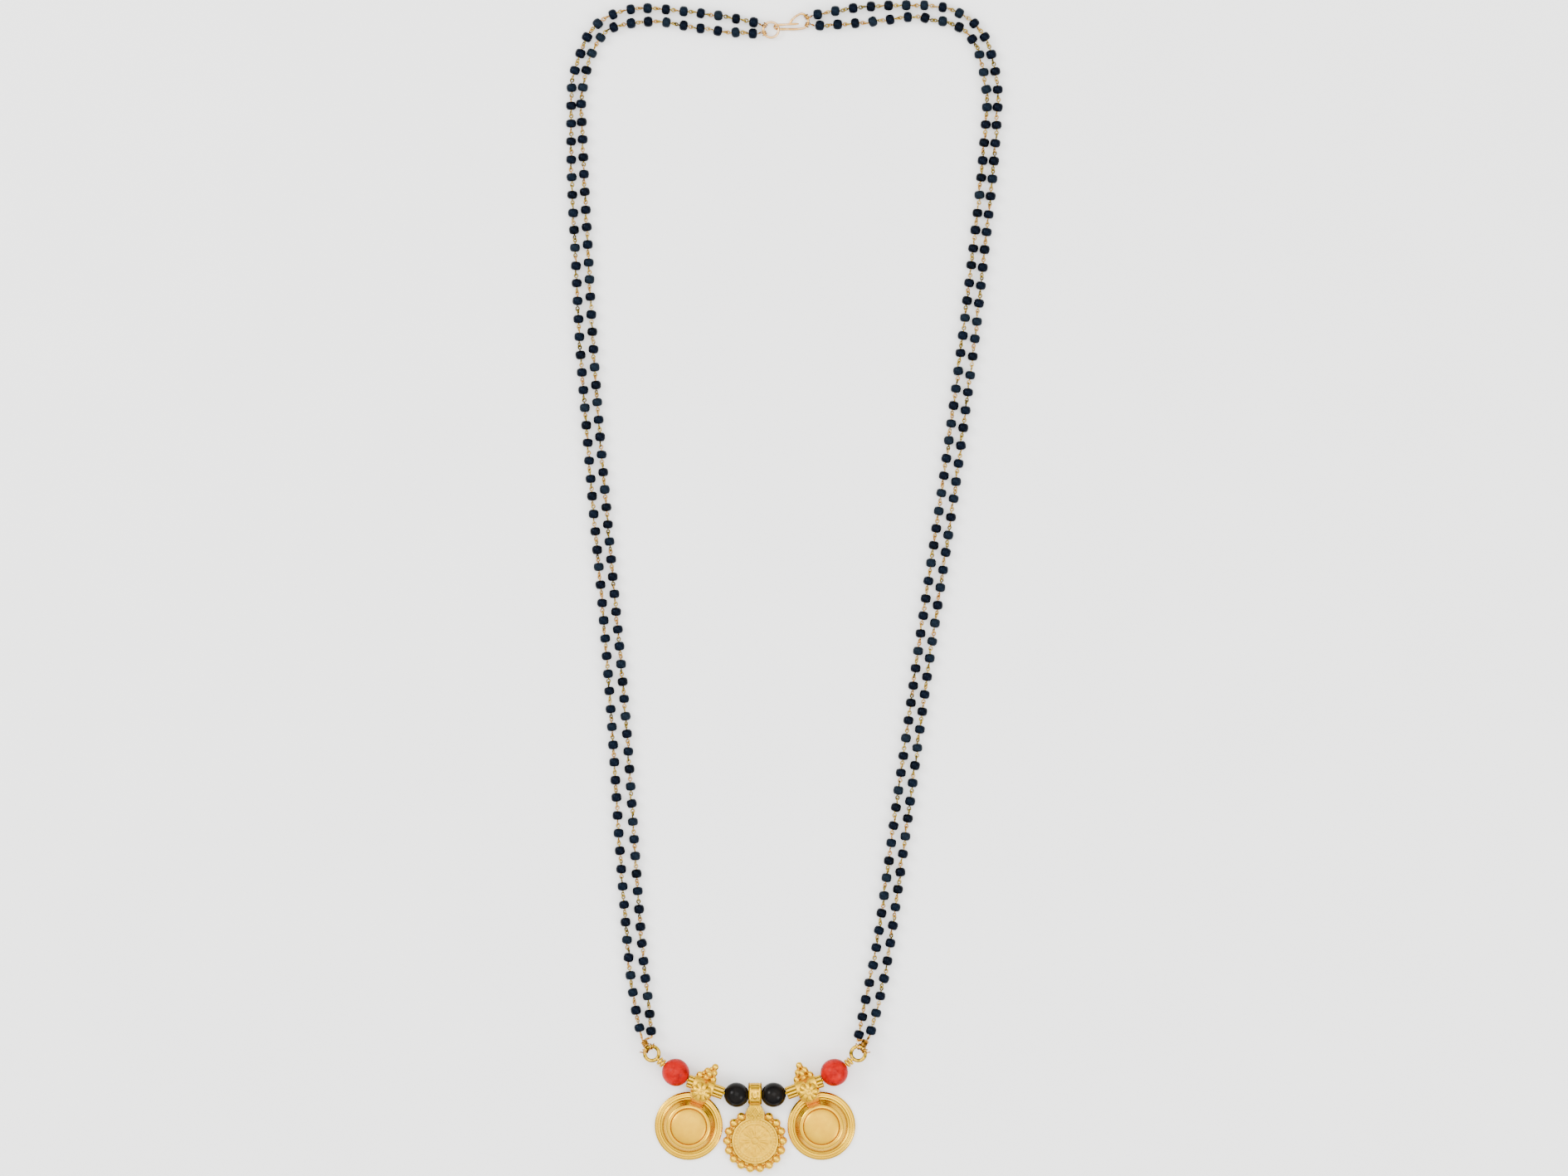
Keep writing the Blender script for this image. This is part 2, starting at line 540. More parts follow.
# the beads lie evenly along the curve but for wander, lean by tilt, and vary in length, size and tone; a
# pair of wire eyes joins each two
def buildStrand(name, route):
    curve = strandCurve(route)
    length = np.linalg.norm(np.diff(curve, axis=0), axis=1).sum()
    count = strand["beads"]
    place = np.linspace(strand["endRoom"], length - strand["lowRoom"], count)
    place[1:-1] += rng.uniform(-1, 1, count - 2) * strand["wander"]
    centre, way = alongCurve(curve, place)
    centre[:, 2] += strand["lift"]
    centre[:, 0] = np.clip(centre[:, 0], -strand["farX"], strand["farX"])  # keeps the outermost beads in line
    centre[:, 1] = np.minimum(centre[:, 1], strand["farY"])
    leaning = unitRows(way + rng.normal(0, strand["tilt"], way.shape) * [1, 1, strand["tiltUp"]])
    side, up = sideAndUp(leaning)
    size = rng.uniform(*strand["sizes"], (count, 1))
    long = rng.uniform(*strand["lengths"], (count, 1))
    bead = beadShape()
    beads = copies(bead, centre, leaning * long, side * size, up * size)
    tone = np.repeat(rng.uniform(*strand["tones"], count), len(bead[0]))
    makePiece("glass_beads_" + name, makeMesh([beads], sharp=60), "blackGlass", "black_glass",
              "strand_" + name, tone=tone)
    faceA = centre[:-1] + leaning[:-1] * strand["beadHalf"]
    faceB = centre[1:] - leaning[1:] * strand["beadHalf"]
    turn = rng.uniform(0, math.pi, count - 1)
    loops = linkShapes(faceA, faceB, turn)
    tone = np.concatenate([np.repeat(rng.uniform(*link["tones"], count - 1), len(p) // (count - 1))
                           for p, _ in loops])
    makePiece("wire_links_" + name, makeMesh(loops, sharp=75), "linkGold", "link_wire",
              "strand_" + name, tone=tone)
    return curve


curves = {name: buildStrand(name, route) for name, route in routes.items()}
print("strands made:", strand["beads"] * len(routes), "beads")


# ties, ring and hook

tie = dict(thick=0.34, drawn=0.94, gap=0.12, clear=0.1, turnClear=0.06, turnSteps=24, steps=8, sides=8,
           apart=0.15, twists=1.5, topStart=70, topTurns=2.25, topLead=0.1, tipSteps=5)
bundle = dict(thick=0.46, angles={-1: 124, 1: 58}, far=1.75, lowDip=0.315, highDip=0.675, apart=0.17,
              start=-80, turns=2, wrapR=0.82, wraps=3.7, wrapSteps=56, tip=1.2, tipTurns=0.6)


# turns round a ring's wire: far = r + c cos b, z = c sin b, at angle a round the ring, and the normals there
def ringTurns(middle, r, hold, aStart, aSide, bStart, turns):
    coilR = hold / 2 + tie["clear"] + tie["thick"] / 2
    aTurn = aSide * (tie["thick"] + tie["turnClear"]) / (r - coilR)
    k = np.arange(round(abs(turns) * tie["turnSteps"]) + 1) / tie["turnSteps"]
    a = math.radians(aStart) + aTurn * k
    b = math.radians(bStart) + np.sign(turns) * fullTurn * k
    return middle + polar(r + coilR * np.cos(b), a, coilR * np.sin(b)), polar(np.cos(b), a, np.sin(b))


# two wires twisted on a smooth lead through the points, lead +- apart (side cos t + up sin t), which
# start close together; one goes on into the turns, the other ends at the lead's last point but one
def tieShapes(points, coil, out, thick, tip=0.0):
    steps = tie["steps"]
    lead = smoothCurve(np.concatenate([points, coil[[0, 3]]]), steps)[:steps * len(points)]
    side, up = sideAndUp(unitRows(np.gradient(lead, axis=0)))
    share = np.linspace(0, 1, len(lead))[:, None]
    t = share * fullTurn * tie["twists"]
    off = tie["apart"] * (side * np.cos(t) + up * np.sin(t)) * (1 - share ** 3) * np.clip(share * 5, 0.25, 1)
    path, ref = np.concatenate([lead + off, coil]), np.concatenate([np.repeat(out[:1], len(lead), 0), out])
    if tip:  # the cut end stands off, away from the ring
        leave = unitRows(out[-1] * [1, 1, 0] + [0, 0, 0.1])
        far = np.linspace(0.1, 1, tie["tipSteps"])[:, None] * tip
        path = np.concatenate([path[:-1], path[-1] + leave * far])
        ref = np.concatenate([ref[:-1], np.repeat([[0, 0, 1.0]], len(far), 0)])
    other = (lead - off)[:steps * (len(points) - 1) + 1]
    radius = thick * tie["drawn"] / 2  # a little thinner than the construction's wire
    return [wireAlong(path, radius, tie["sides"], ref), wireAlong(other, radius, tie["sides"], [0, 0, 1])]


# the wraps of a bundle: the line from one point to the other plus wrapR (side cos t + up sin t)
def wrapShape(low, high):
    t = np.linspace(0, fullTurn * bundle["wraps"], bundle["wrapSteps"])[:, None]
    side, up = sideAndUp(unitRows(high - low))
    out = side * np.cos(t) + up * np.sin(t)
    path = low + (high - low) * (t / t[-1]) + out * bundle["wrapR"]
    return wireAlong(path, bundle["thick"] / 2, tie["sides"], out)


ringR = (clasp["ringD"] - clasp["ringThick"]) / 2


# from the strand's end to the ring at the left, or to the hook's eye at the right
def topTie(name, route, curve):
    middle, r, hold = ((ringMiddle, ringR, clasp["ringThick"]) if route["side"] < 0
                       else (hookEyeMiddle, clasp["eyeR"], clasp["hookThick"]))
    coil, out = ringTurns(middle, r, hold, *route["topTie"], tie["topStart"], tie["topTurns"])
    way = unitRows(curve[0] - curve[3])
    start = curve[0] + way * tie["gap"]
    points = np.array([start, (start + coil[0]) / 2 + way * tie["topLead"]])
    return tieShapes(points, coil, out, tie["thick"])


# both leads of a side run through the bundle, from high to low; the outer one is wrapped and has the cut end
def lowTie(name, route, curve):
    side, outer = route["side"], "outer" in name
    middle = eyeMiddle(side)
    a = math.radians(bundle["angles"][side])
    ray = polar(1, a, 0)
    across = polar(bundle["apart"], a + math.pi / 2, 0) * (-side if outer else side)
    low = middle + ray * (wire["eyeD"] / 2) - [0, 0, bundle["lowDip"]]
    high = middle + ray * (wire["eyeD"] / 2 + bundle["far"]) - [0, 0, bundle["highDip"]]
    turns = -bundle["turns"] - (bundle["tipTurns"] if outer else 0)
    coil, out = ringTurns(middle, eyeR, wire["eyeThick"], *route["lowTie"], bundle["start"], turns)
    way = unitRows(curve[-1] - curve[-4])
    bore = curve[-1] - way * (strand["lowRoom"] - strand["beadHalf"]) + [0, 0, strand["lift"]]
    points = np.array([bore, curve[-1] + way * tie["gap"], high + across, low + across])
    shapes = tieShapes(points, coil, out, bundle["thick"], bundle["tip"] if outer else 0)
    return shapes + [wrapShape(low, high)] if outer else shapes


for name, curve in curves.items():
    for place, tieOf in (("top", topTie), ("low", lowTie)):
        mesh = makeMesh(tieOf(name, routes[name], curve))
        makePiece(f"{place}_tie_{name}", mesh, "roseGold", "link_wire", f"tie_{place}_{name}")


# the hook's points: the free leg, the bend through the ring, the lower leg, the eye and its tail
def hookPoints():
    y, rise, half = clasp["hookY"], hookRise, clasp["legHalf"]
    bendX = clasp["ringX"] + math.sqrt(ringR ** 2 - (y - clasp["ringY"]) ** 2)
    bendIn = math.hypot(rise, half)
    a = np.radians([90, 135, 180, 225, 270])
    c = np.arange(-90, 91, 30)
    z = ringMiddle[2]
    legs = [bendX, y, z + rise] + np.array(clasp["leg"]) * [clasp["hookLen"], half, clasp["hookThick"]]
    bend = np.stack([bendX + bendIn * np.cos(a), y + half * np.sin(a), z + rise * np.sin(a)], -1)
    lower = [bendX, y, hookLow] + np.array(clasp["lower"])
    eye = hookEyeMiddle + polar(clasp["eyeR"], np.radians(c), np.where(c < -30, (c + 30) / 200, 0))
    return np.concatenate([legs, bend, lower, eye, hookEyeMiddle + clasp["eyeR"] * np.array(clasp["tail"])])


ring = shifted(torus(ringR, clasp["ringThick"], turns=96, seam=clasp["seam"]), ringMiddle)
makePiece("ring_of_clasp", makeMesh([ring]), "claspGold", "clasp_wire", "clasp_ring")
hookPath = smoothCurve(hookPoints(), steps=6)
fromEnd = np.minimum(np.arange(len(hookPath)), np.arange(len(hookPath))[::-1])
taper = np.minimum(1, clasp["tip"] + fromEnd * clasp["taper"])  # rounds the wire's two ends
hook = wireAlong(hookPath, clasp["hookThick"] / 2 * taper, sides=12, ref=[0, 0, 1])
makePiece("hook_of_clasp", makeMesh([hook]), "claspGold", "clasp_wire", "clasp_hook")
print("clasp and ties made")


# pendant wire, round beads and fluted tubes

def bentWire():  # an arc of radius bendR round the bend's middle
    reach = (eyeAt - eyeR) / wire["bendR"]
    a = np.linspace(-reach, reach, 121)
    path = bendMiddle + polar(wire["bendR"], a - math.pi / 2, 0)
    return wireAlong(path, wire["thick"] / 2, sides=12, ref=[0, 0, 1])


eyes = [shifted(torus(eyeR, wire["eyeThick"]), eyeMiddle(side)) for side in (-1, 1)]
makePiece("wire_eyes", makeMesh(eyes), "eyeGold", "pendant_gold", "pendant_wire")
coilR = wire["thick"] / 2 + wire["neckThick"] * wire["neckHold"]
neckCoil = alongX(torus(coilR, wire["neckThick"], turns=24, sides=10))
necks = [onWire(neckCoil, side * (neckAt + turn * wire["neckPitch"])) for side in (-1, 1) for turn in (0, 1)]
makePiece("bent_wire", makeMesh([bentWire()] + necks), "polishedGold", "pendant_gold", "pendant_wire",
          ease=(2, 0.1))


# a drilled bead: the sphere from where the bore leaves it, closed through the bore, and worn by a share
# wobble (1 + sin(3 a + z)) / 2 of its radius
def drilledBead(d, s, name, look, slot, wobble):
    bore = wire["thick"] / 2 + wire["boreClear"]
    profile = halfCircle(d, math.asin(bore / (d / 2)), rows=25)
    wear = lambda r, z, a: (r * (1 - wobble * (1 + np.sin(3 * a + z)) / 2 * (r > bore + 0.3)), z)
    bead = alongX(ringShape(turned(profile, 48, wear), closed=True))
    bead = onWire(shifted(bead, [0, halfRise(d), 0]), s)
    makePiece("bead_" + name, makeMesh([bead], sharp=35), look, slot, name)


halves = ((-1, "left"), (1, "right"))
for side, word in halves:
    drilledBead(wire["coralD"], side * coralAt, "coral_bead_" + word, "coral", "coral", wobble=0.012)
    drilledBead(wire["blackD"], side * blackAt, "black_bead_" + word, "blackStone", "black_stone",
                wobble=0.004)

flute = dict(d=3.8, ribD=0.9, ribs=9, ribSides=14, core=0.6, bore=2.4, bevel=0.14)


# a fluted section: r = the greater of the core and the ribs' circles, c cos x + sqrt(p^2 - c^2 sin^2 x);
# it is the more tarnished the deeper it lies
def flutedTube(s, word):
    sides = flute["ribs"] * flute["ribSides"]
    a = np.arange(sides) * fullTurn / sides
    pitch = fullTurn / flute["ribs"]
    x = (a % pitch) - pitch / 2
    c, p = (flute["d"] - flute["ribD"]) / 2, flute["ribD"] / 2
    rib = c * np.cos(x) + np.sqrt(np.maximum(p * p - (c * np.sin(x)) ** 2, 0))
    core = (flute["d"] - flute["ribD"] * flute["core"]) / 2
    outer = np.maximum(core, np.where(np.abs(c * np.sin(x)) < p, rib, 0))
    bore = np.full_like(outer, flute["bore"] / 2)
    half, b = wire["tubeLen"] / 2, flute["bevel"]
    r = np.stack([outer - b, outer, outer, outer, outer - b, bore, bore])
    z = np.array([-half, b - half, 0, half - b, half, half, -half])[:, None]
    tube = alongX(ringShape(polar(r, a, z), closed=True))
    tube = onWire(shifted(tube, [0, halfRise(wire["tubeLen"]), 0]), s)
    deep = (outer.max() - outer) / (outer.max() - outer.min())
    makePiece("ribbed_tube_" + word, makeMesh([tube], sharp=30), "polishedGold", "pendant_gold",
              "fluted_tube_" + word, hollow=np.tile(deep, len(r)))


for side, word in halves:
    flutedTube(side * tubeAt, word)
print("pendant wire, beads and tubes made")


# cup pendants

cup = dict(r=9.85, h=4.5, wall=0.55, drop=2.65, shift=0.698, sleeveR=2.7, sleeveBore=2.05, sleeveLen=6.3,
           sleeveBevel=0.15, neckW=4.4, rosetteR=3.15, domeR=5.0, domeShare=0.18, petals=8, heapD=2.0,
           lean=1.4, ridges=84, ridgeDepth=0.05, ridgeSlant=2.2, millFrom=0.955, millWide=0.03, satinTo=0.51,
           grooves=[[0.528, 0.16, 0.014], [0.835, 0.1, 0.013], [0.69, 0.07, 0.012], [0.915, 0.06, 0.012]],
           profile=[[1, 0.16], [0.95, 0.22], [0.86, 0.26], [0.78, 0.3], [0.755, 0.38], [0.71, 0.55],
                    [0.665, 0.7], [0.63, 0.78], [0.56, 0.83], [0.53, 0.79], [0.5, 0.83], [0.42, 0.9],
                    [0.3, 0.96], [0.15, 0.99], [0.004, 1]])


# the cup's wall: its inside from the middle to the rim, then its outside back, turned round Z. The rim is
# milled, r less depth (1 + cos(ridges a + slant z)) / 2, and z is less by deep e^-((r - place) / wide)^2
# at each groove. The satin value falls from 1 on the cap to 0 outside it
def cupShell():
    seen = np.array(cup["profile"]) * [cup["r"], cup["h"]]
    outer = smoothCurve(seen, steps=7)
    inner = np.maximum(seen[:0:-1] - cup["wall"], [0.03, -1])
    low = [[cup["r"] - cup["wall"], 0.0], [cup["r"], 0.0], [cup["r"], 0.25]]
    profile = np.concatenate([inner, low, outer])

    def mill(r, z, a):
        edge = ramp(r / cup["r"], cup["millFrom"], cup["millWide"]) * (z > 0.1)
        ridge = (1 + np.cos(cup["ridges"] * a + z * cup["ridgeSlant"])) / 2
        above = (np.arange(len(profile)) >= len(inner) + len(low))[:, None]
        for place, deep, wide in cup["grooves"]:
            z = z - above * deep * bell(r / cup["r"], place, wide)
        return r - edge * ridge * cup["ridgeDepth"], z

    rings = turned(profile, cup["ridges"] * 4, mill)
    satin = np.repeat(np.clip((cup["r"] * cup["satinTo"] - profile[:, 0]) / 0.5, 0, 1), rings.shape[1])
    return ringShape(rings), satin


# the rosette's face over (r, a): a dome, less petal creases, plus a middle boss with a dark dimple
def rosetteShape():
    faceZ = cup["sleeveR"] + cup["domeR"] * cup["domeShare"]
    r = np.concatenate([[1.0], np.linspace(1, 0.01, 26)]) * cup["rosetteR"]
    profile = np.column_stack([r, np.zeros_like(r)])

    def swell(r, z, a):
        q = r / cup["rosetteR"]
        lobe = np.abs(np.cos(cup["petals"] / 2 * (a + 0.2)))
        edge = 1 - 0.1 * (1 - lobe) ** 2 * (q > 0.4)
        top = faceZ - cup["domeR"] + np.sqrt(cup["domeR"] ** 2 - r ** 2)
        crease = 0.196 * (1 - lobe) ** 3 * ramp(q, 0.25, 1 / 3)
        bulge = 0.112 * np.sin(ramp(q, 0.3, 0.7) * math.pi) * lobe
        boss = 0.15 * bell(q, 0.2, 0.09) - 0.09 * bell(q, 0, 0.1)
        hammered = 0.05 * np.sin(9 * q * np.cos(a) + 1) * np.sin(8 * q * np.sin(a) + 2)
        z = top - crease + bulge + boss + hammered - 0.25 * ramp(q, 0.85, 0.15) ** 2
        z[0] = cup["sleeveBore"] + 0.1
        return r * edge, z

    return shifted(ringShape(turned(profile, 96, swell)), [0, -cup["rosetteR"] / 2, 0])


# shares: upper and lower of the sleeve's radius, outs of the drop, across of the neck's width
neck = dict(upper=[[-0.55, 0.95], [-1.2, 0.9], [-1.55, 0.8], [-1.85, 0.35], [-2.05, -0.3]],
            lower=[[-0.9, -0.55], [-0.86, 0]], outs=[2.23, 2.08, 1.89, 1.58, 1.32, 1.09],
            across=[-0.5, -0.5, -0.42, 0, 0.42, 0.5, 0.5], sizes=[0.1, 0.86, 1, 1, 1, 0.86, 0.1])


# the neck from sleeve to cup: its side outline (y, z) drawn out along X, its edges rounded by sizes
def neckShape():
    shares = np.array(cup["profile"])[::-1]
    outs = cup["drop"] * np.array(neck["outs"])
    top = cup["h"] * np.interp((cup["r"] + cup["drop"] - outs) / cup["r"], shares[:, 0], shares[:, 1])
    foot = np.column_stack([-outs, top - cup["wall"] / 2 - wire["height"]])
    upper, lower = (cup["sleeveR"] * np.array(neck[k]) for k in ("upper", "lower"))
    outline = np.concatenate([upper, foot, lower])[::-1]
    middle = outline.mean(0)
    yz = middle + (outline - middle) * np.array(neck["sizes"])[:, None, None]
    x = np.broadcast_to(np.array(neck["across"])[:, None, None] * cup["neckW"], yz.shape[:2] + (1,))
    return ringShape(np.concatenate([x, yz], -1))


# the granules in rows of three, two and one with one on top, and the solder between the pairs
def heapShapes(lean):
    d = cup["heapD"]
    step, row = d * 1.02, d * 1.02 * math.sqrt(3) / 2
    firstY, z = cup["sleeveR"] + d * 0.1, d * 0.3
    places = [[(i - (2 - k) / 2) * step + lean * k / 2, firstY + k * row, z]
              for k in range(3) for i in range(3 - k)]
    places.append([lean / 3, firstY + row * 2 / 3, z + step * math.sqrt(2 / 3)])
    places = np.array(places)
    pairs = [[0, 1], [1, 2], [3, 4], [0, 3], [1, 3], [1, 4], [2, 4], [3, 5], [4, 5], [1, 6], [3, 6], [4, 6]]
    between = places[pairs].mean(1) - [0, 0, d * 0.12]
    return [copiesAt(ball(d), places), copiesAt(ball(d * 0.62, rows=8, sides=12), between)]


def sleeveShape():  # a tube with bevelled edges, turned round the wire
    r, bore, half, b = cup["sleeveR"], cup["sleeveBore"], cup["sleeveLen"] / 2, cup["sleeveBevel"]
    profile = [[r - b, -half], [r, b - half], [r, half - b], [r - b, half], [bore, half], [bore, -half]]
    return alongX(ringShape(turned(profile, 48), closed=True))


# overlapping shapes made one skin, as solder joins them: remeshed in small cubes, then smoothed
def fused(shapes, cube, passes):
    rough = newObject("rough", makeMesh(shapes))
    remesh = rough.modifiers.new("cubes", "REMESH")
    remesh.mode, remesh.voxel_size, remesh.use_smooth_shade = "VOXEL", cube * mm, True
    smooth = rough.modifiers.new("smooth", "SMOOTH")
    smooth.factor, smooth.iterations = 0.5, passes
    ready = bpy.data.meshes.new_from_object(rough.evaluated_get(bpy.context.evaluated_depsgraph_get()))
    bpy.data.objects.remove(rough)
    ready.polygons.foreach_set("use_smooth", np.ones(len(ready.polygons), bool))
    return ready


def buildCup(side, word):
    def place(shape):  # from the tube's middle, moved a little along the tube, to its place on the wire
        return onWire(shifted(shape, [side * cup["shift"], halfRise(wire["tubeLen"]), 0]), side * tubeAt)

    shell, satin = cupShell()
    shell = place(shifted(shell, [0, -(cup["r"] + cup["drop"]), -wire["height"]]))
    makePiece("cup_" + word, makeMesh([shell], sharp=50), "cupGold", "pendant_gold", "cup_pendant_" + word,
              ease=(8, 0.05), satin=satin)
    solids = [sleeveShape(), neckShape(), rosetteShape()] + heapShapes(cup["lean"] if side < 0 else 0.0)
    skin = fused([place(s) for s in solids], cube=0.09, passes=2)
    makePiece("mount_" + word, skin, "mountGold", "pendant_gold", "cup_pendant_" + word, ease=(14, 0.08))


for side, word in halves:
    buildCup(side, word)
print("cup pendants made")


# coin pendant

coin = dict(r=6.7, t=1.2, plateReach=0.9, plateT=0.8, grainD=2.3, seenD=2.55, places=18, drop=6.4,
            relief=0.175, petals=8, teeth=60, bailW=3.3, flare=0.28, band=0.7, holeR=1.8, holeRun=1.4,
            clear=0.1)
coinBase = coin["grainD"] / 2 - coin["plateT"]
coinY = -(coin["drop"] + coin["r"])


# the coin's face over (r, a): a rim, an inner ring, and a flower of petals in low relief; the collar
# round it is serrated
def coinShape():
    reach, t = coin["plateReach"], coin["plateT"]
    collar = np.array([[reach, 0], [reach, t], [0.75, t], [0.6, t + 0.28], [0.25, t + 0.34],
                       [0.05, t + 0.2], [0, coin["t"]]]) + [coin["r"], 0]
    q = np.linspace(1, 0.004, 64)
    profile = np.concatenate([[[0.03, 0.0]], collar, np.column_stack([q * coin["r"], 0 * q + coin["t"]])])
    row = np.arange(len(profile))[:, None]

    def strike(r, z, a):
        g = r / coin["r"]
        rim = np.clip(1 - np.abs(g - 0.96) / 0.045, 0, 1) ** 0.5
        ring = bell(g, 0.74, 0.025)
        beads = bell(g, 0.85, 0.04) * (0.5 + 0.5 * np.cos(40 * a)) ** 2
        lobe = np.abs(np.cos(coin["petals"] / 2 * a))
        petal = np.clip(1 - ((g - 0.4) / 0.26) ** 2, 0, 1) * ramp(lobe, 0.35, 0.5)
        vein = bell(lobe, 1, 0.02) * petal
        boss = np.clip(1 - (g / 0.14) ** 2, 0, 1) ** 0.5
        worn = np.sin(17 * g * np.cos(a) + 2) * np.sin(19 * g * np.sin(a)) * (g < 0.7)
        height = 0.9 * rim + 0.5 * ring + 0.5 * beads + 0.75 * petal - 0.35 * vein + boss + 0.25 * worn
        z = z + (row > len(collar)) * height * coin["relief"]
        return r, z - 0.12 * (1 - np.cos(coin["teeth"] * a)) * ((row >= 4) & (row <= 6))

    return ringShape(turned(profile, 240, strike))


# granules evenly round the coin, but for two places under the bail, and solder between them
def coinGrains():
    i = np.arange(1, coin["places"] - 1)
    a = math.pi / 2 + fullTurn * (i + 0.5) / coin["places"]
    border = coin["r"] + coin["plateReach"] + coin["grainD"] * 0.75 - coin["seenD"] / 2
    places = [0, coinY, coin["seenD"] / 2 - wire["height"]] + polar(border, a, 0)
    between = (places[1:] + places[:-1]) / 2 - [0, 0, 0.25]
    return [copiesAt(ball(coin["seenD"], rows=14, sides=20), places),
            copiesAt(ball(coin["seenD"] * 0.45, rows=8, sides=12), between)]


# the bail's band: a flat section carried round a stadium, its outer face wider than its back by the flare
# and embossed over u across it and v along it: two edges, a ring round a boss on top, bars beside them
def bailBand():
    outerR = coin["holeR"] + coin["band"]
    holeZ = max(wire["height"] - coin["holeR"] + wire["thick"] / 2 + coin["clear"], outerR) - wire["height"]
    r, run = coin["holeR"] + coin["band"] / 2, coin["holeRun"]
    right = np.linspace(math.pi / 2, -math.pi / 2, 28)
    left = right - math.pi
    flat = np.linspace(0, run, 9)[1:-1]
    centre = np.concatenate([
        [run, holeZ] + polar(r, right, 0)[:, :2], np.stack([run - flat, 0 * flat + holeZ - r], -1),
        [0, holeZ] + polar(r, left, 0)[:, :2], np.stack([flat, 0 * flat + holeZ + r], -1)])[::-1]
    way = unitRows(np.roll(centre, -1, 0) - np.roll(centre, 1, 0))
    out = np.stack([way[:, 1], -way[:, 0]], -1)
    v = np.cumsum(np.linalg.norm(centre - np.roll(centre, 1, 0), axis=1))[:, None]
    v = v - v[np.argmax(centre[:, 1] - 0.001 * np.abs(centre[:, 0] - run / 2))]
    s = np.linspace(-1, 1, 29)[None, :]
    u = s * (coin["bailW"] / 2 + coin["flare"])
    away = np.sqrt((u / 0.85) ** 2 + (v / 1.25) ** 2)
    bars = (np.cos(v * 5.5) > 0.1) * (away > 1.3) * (np.abs(s) < 0.6)
    emboss = ramp(np.abs(s), 0.74, 0.08) + bell(away, 1, 0.16) + 0.8 * bell(away, 0, 0.5) + 0.5 * bars
    face = coin["band"] / 2 - 0.17 + 0.17 * np.clip(emboss, 0, 1) - 0.14 * ramp(np.abs(s), 0.93, 0.07)
    backs = np.ones((len(centre), 1)) * [coin["bailW"] / 2, -coin["bailW"] / 2]
    across = np.concatenate([u + 0 * v, backs], 1)
    depth = np.concatenate([face, 0 * backs - coin["band"] / 2], 1)
    yz = centre[:, None] + depth[..., None] * out[:, None]
    return ringShape(np.concatenate([across[..., None], yz], -1), closed=True), holeZ, outerR


# the shoulder from bail to coin, over u across it and t along it: its half width grows towards the coin,
# and its top has a leaf line and a scroll on each side, and raised edges
def shoulder(holeZ, outerR):
    t = np.linspace(0, 1, 40)[:, None]
    nearY, footY = -outerR * 0.55, -(coin["drop"] + 0.9)
    y = nearY + (footY - nearY) * t
    half = np.interp(t, [0, 0.25, 0.35, 0.6, 0.8, 0.92, 1], [1.6, 1.7, 2.1, 2.85, 2.9, 2.9, 2.6])
    coinTop = coinBase + coin["t"] - wire["height"]
    top = np.interp(t, [0, 0.2, 0.45, 0.8, 1],
                    [holeZ + outerR * 0.8, holeZ + 0.75, holeZ + 0.25, coinTop + 0.55, coinTop + 0.05])
    u = np.linspace(-1, 1, 33)[None, :]
    inX, inY = np.abs(u) - 0.55, t - 0.72
    curl = np.hypot(inX, inY * 2)
    leaf = bell(np.abs(u), 0.34 * np.sin(ramp(t, 0.3, 0.5) * math.pi), 0.07)
    scroll = (0.09 * np.cos(curl * 22 - 3 * np.arctan2(inY, inX)) * bell(curl, 0, 0.25)
              + 0.11 * leaf + 0.05 * np.sin(u * 23 + 1) * np.sin(t * 31)
              + 0.12 * ramp(np.abs(u), 0.84, 0.06))
    z = top + scroll * (t > 0.3) - 0.55 * ramp(np.abs(u), 0.9, 0.1) ** 2 - 0.18 * u ** 2
    base = np.full_like(t, coinBase + 0.1 - wire["height"])
    x = np.concatenate([u * half, half, -half], 1)
    z = np.concatenate([z, base, base], 1)
    return ringShape(np.stack([x, y + 0 * x, z], -1)[:, ::-1])


bandShape, holeZ, bailOuter = bailBand()
face = onWire(shifted(coinShape(), [0, coinY, coinBase - wire["height"]]), 0)
grains = fused([onWire(s, 0) for s in coinGrains()], cube=0.1, passes=2)
bail = [onWire(s, 0) for s in (bandShape, shoulder(holeZ, bailOuter))]
makePiece("coin_face", makeMesh([face], sharp=60), "coinGold", "coin_gold", "coin_pendant", ease=(10, 0.05))
makePiece("coin_grains", grains, "mountGold", "coin_gold", "coin_pendant", ease=(14, 0.08))
makePiece("coin_bail", makeMesh(bail, sharp=60), "mountGold", "coin_gold", "coin_pendant", ease=(8, 0.1))
print("coin pendant made")


# floor, light and camera

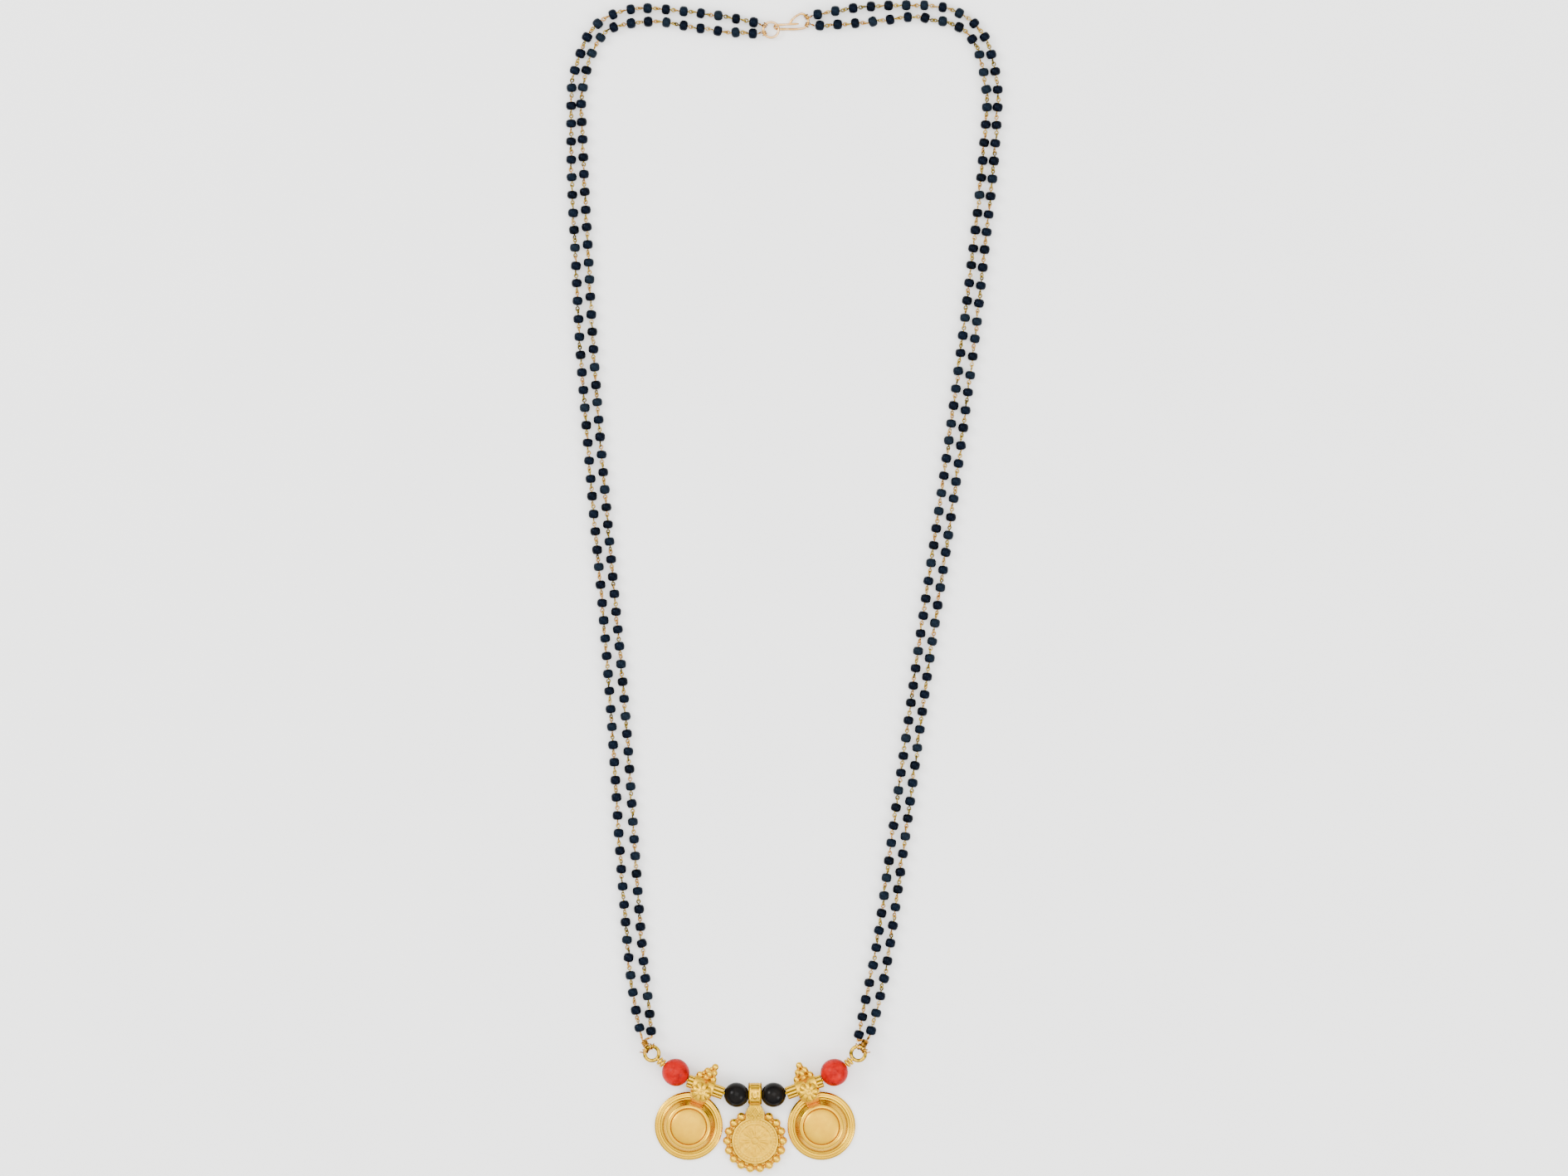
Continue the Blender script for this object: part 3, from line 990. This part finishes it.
studio = dict(floorSize=6.0, camera=(-0.00012, -0.00048, 1.892), lens=150.0, clip=(0.01, 20),
              paperPatch=40, paper=[(0.3, (0.9, 0.9, 0.9)), (0.7, (0.92, 0.92, 0.92))],
              sky=[(0.5, (0.3, 0.3, 0.3)), (0.6, (0.8, 0.8, 0.79)), (0.78, (2.5, 2.49, 2.45)),
                   (1.0, (3.1, 3.09, 3.04))],
              lights=[dict(name="top_box", size=1.1, glow=4.2, place=(0.1, 0.25, 1.9)),
                      dict(name="left_box", size=0.5, glow=19.0, place=(-1.1, 0.5, 1.0)),
                      dict(name="right_box", size=0.5, glow=12.0, place=(1.0, -0.7, 0.9))])


def addFloor():
    bpy.ops.mesh.primitive_plane_add(size=studio["floorSize"], location=(0, 0, 0))
    floor = bpy.context.object
    floor.name = "floor"
    paper, tree, shader = newShader("paper", Roughness=0.9, **{"Specular IOR Level": 0.1})
    tone = rampNode(tree, noiseNode(tree, studio["paperPatch"], detail=2), studio["paper"])
    tree.links.new(tone, shader.inputs["Base Color"])
    floor.data.materials.append(paper)


def addLights():
    world = bpy.data.worlds.new("studio")
    world.use_nodes = True
    tree = world.node_tree  # the sky brightens from the horizon, at 0.5, to straight above, at 1
    coord = addNode(tree, "ShaderNodeTexCoord")
    split = addNode(tree, "ShaderNodeSeparateXYZ")
    tree.links.new(coord.outputs["Generated"], split.inputs[0])
    sky = rampNode(tree, rangeNode(tree, split.outputs["Z"], 0, 1, start=-1), studio["sky"])
    tree.links.new(sky, tree.nodes["Background"].inputs["Color"])
    bpy.context.scene.world = world
    for box in studio["lights"]:  # each is turned to the middle
        lamp = bpy.data.lights.new(box["name"], "AREA")
        lamp.size, lamp.energy = box["size"], box["glow"] * math.pi * box["size"] ** 2
        holder = newObject(box["name"], lamp)
        holder.location = box["place"]
        holder.rotation_mode = "QUATERNION"
        holder.rotation_quaternion = Vector(box["place"]).to_track_quat("Z", "Y")


def addCamera():
    camera = newObject("camera", bpy.data.cameras.new("camera"))
    camera.location = studio["camera"]
    camera.data.lens = studio["lens"]
    camera.data.clip_start, camera.data.clip_end = studio["clip"]
    bpy.context.scene.camera = camera


addFloor()
addLights()
addCamera()
